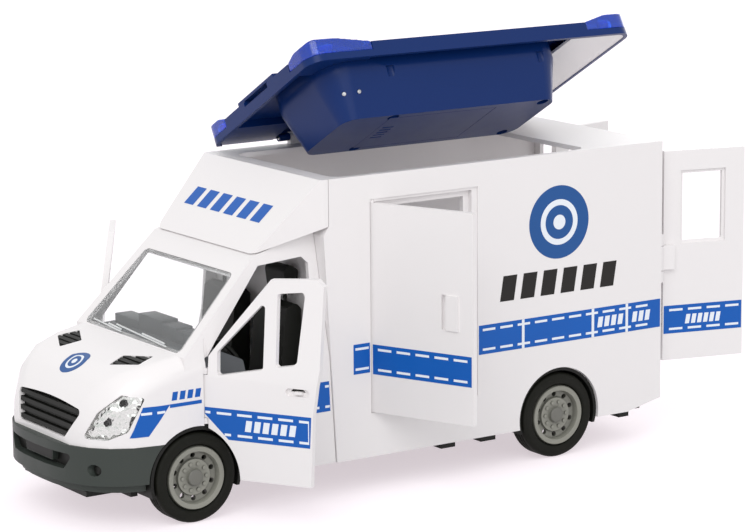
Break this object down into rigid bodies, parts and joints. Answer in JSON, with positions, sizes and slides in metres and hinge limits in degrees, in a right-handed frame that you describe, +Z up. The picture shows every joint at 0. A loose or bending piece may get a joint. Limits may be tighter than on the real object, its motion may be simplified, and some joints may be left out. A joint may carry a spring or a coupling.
{
  "type": "toy box van",
  "caption": "Toy box van with hinged cab, side and rear doors, a lifting roof lid with corner lamps and a battery housing, and a friction drive geared to the rear axle.",
  "frame": {"origin": "middle of the chassis's flat underside, halfway between the axles", "axes": "+X to the front of the van, +Y to its left, +Z up"},
  "size_m": [0.364, 0.1974, 0.2082],
  "materials": {
    "body_white": "moulded ABS, gloss",
    "trim_grey": "moulded, satin dark grey",
    "chassis_black": "moulded, satin black",
    "interior_black": "moulded, satin black",
    "interior_grey": "moulded, satin grey",
    "liner_white": "moulded, white",
    "lid_blue": "moulded ABS, gloss royal blue",
    "lamp_blue": "translucent blue, polished",
    "clear": "clear moulded plastic",
    "reflector": "vacuum-metallised",
    "tyre": "soft black rubber",
    "rim_grey": "moulded, satin grey",
    "steel": "zinc-plated",
    "gear_white": "natural acetal",
    "flywheel_metal": "pressed steel weight",
    "board_green": "circuit board",
    "cell_wrap": "plain wrapped cell",
    "led": "clear epoxy"
  },
  "bodies": {
    "vehicle": {"chassis": "chassis_black", "chassis_screws": "steel", "front_bumper": "trim_grey", "cab_shell": "body_white", "grille": "chassis_black", "bonnet_vents": "chassis_black", "headlight_reflector_left": "reflector", "headlight_reflector_right": "reflector", "headlight_lens_left": "clear", "headlight_lens_right": "clear", "windscreen": "clear", "roof_fairing": "body_white", "dashboard": "interior_grey", "steering_wheel": "interior_black", "seat_left": "interior_black", "seat_right": "interior_black", "cab_floor": "interior_grey", "box_shell": "body_white", "box_floor": "liner_white", "cab_door_pins": "steel", "rear_door_pins": "steel", "lid_hinge_pin": "steel", "motor_casing_left": "trim_grey", "motor_casing_right": "trim_grey"},
    "cab_door_left": {"cab_door_left": "body_white"},
    "cab_door_right": {"cab_door_right": "body_white"},
    "side_door": {"side_door": "body_white"},
    "rear_door_left": {"rear_door_left": "body_white"},
    "rear_door_right": {"rear_door_right": "body_white"},
    "roof_lid": {"roof_lid": "lid_blue", "lid_liner": "liner_white", "lamp_front_left": "lamp_blue", "lamp_front_right": "lamp_blue", "lamp_rear_left": "lamp_blue", "lamp_rear_right": "lamp_blue", "lid_housing": "lid_blue", "battery_cover": "lid_blue", "battery_cells": "cell_wrap", "battery_contacts": "steel", "circuit_board": "board_green", "speaker": "interior_black", "lamp_leds": "led", "housing_screws": "steel"},
    "front_wheels": {"front_axle": "steel", "tyre_front_left": "tyre", "tyre_front_right": "tyre", "rim_front_left": "rim_grey", "rim_front_right": "rim_grey"},
    "rear_wheels": {"rear_axle": "steel", "axle_gear": "gear_white", "tyre_rear_left": "tyre", "tyre_rear_right": "tyre", "rim_rear_left": "rim_grey", "rim_rear_right": "rim_grey"},
    "compound_gear": {"compound_gear": "gear_white"},
    "flywheel": {"flywheel": "flywheel_metal"}
  },
  "joints": [
    {"name": "cab_door_left_hinge", "type": "hinge", "parent": "vehicle", "child": "cab_door_left", "pos_m": [0.0938, 0.0485, 0.0429], "axis": [0, 0, -1], "range_deg": [-59, 13]},
    {"name": "cab_door_right_hinge", "type": "hinge", "parent": "vehicle", "child": "cab_door_right", "pos_m": [0.0938, -0.0485, 0.0429], "axis": [0, 0, 1], "range_deg": [-59, 13]},
    {"name": "side_door_hinge", "type": "hinge", "parent": "vehicle", "child": "side_door", "pos_m": [0.0058, 0.0494, 0.0718], "axis": [0, 0, -1], "range_deg": [-67, 18]},
    {"name": "rear_door_left_hinge", "type": "hinge", "parent": "vehicle", "child": "rear_door_left", "pos_m": [-0.1639, 0.0466, 0.075], "axis": [0, 0, -1], "range_deg": [-104, 14]},
    {"name": "rear_door_right_hinge", "type": "hinge", "parent": "vehicle", "child": "rear_door_right", "pos_m": [-0.1639, -0.0466, 0.075], "axis": [0, 0, 1], "range_deg": [-104, 14]},
    {"name": "roof_lid_hinge", "type": "hinge", "parent": "vehicle", "child": "roof_lid", "pos_m": [-0.0605, -0.0494, 0.1366], "axis": [1, 0, 0], "range_deg": [-29.5, 40.5]},
    {"name": "front_axle_spin", "type": "hinge", "parent": "vehicle", "child": "front_wheels", "pos_m": [0.1, 0, 0.0065], "axis": [0, 1, 0], "continuous": true},
    {"name": "rear_axle_spin", "type": "hinge", "parent": "vehicle", "child": "rear_wheels", "pos_m": [-0.1, 0, 0.0065], "axis": [0, 1, 0], "continuous": true},
    {"name": "compound_gear_spin", "type": "hinge", "parent": "vehicle", "child": "compound_gear", "pos_m": [-0.088, 0, 0.0065], "axis": [0, 1, 0], "continuous": true},
    {"name": "flywheel_spin", "type": "hinge", "parent": "vehicle", "child": "flywheel", "pos_m": [-0.076, 0, 0.0065], "axis": [0, 1, 0], "continuous": true}
  ],
  "couplings": [
    {"joint": "compound_gear_spin", "follows": "rear_axle_spin", "ratio": -3},
    {"joint": "flywheel_spin", "follows": "rear_axle_spin", "ratio": 9}
  ]
}
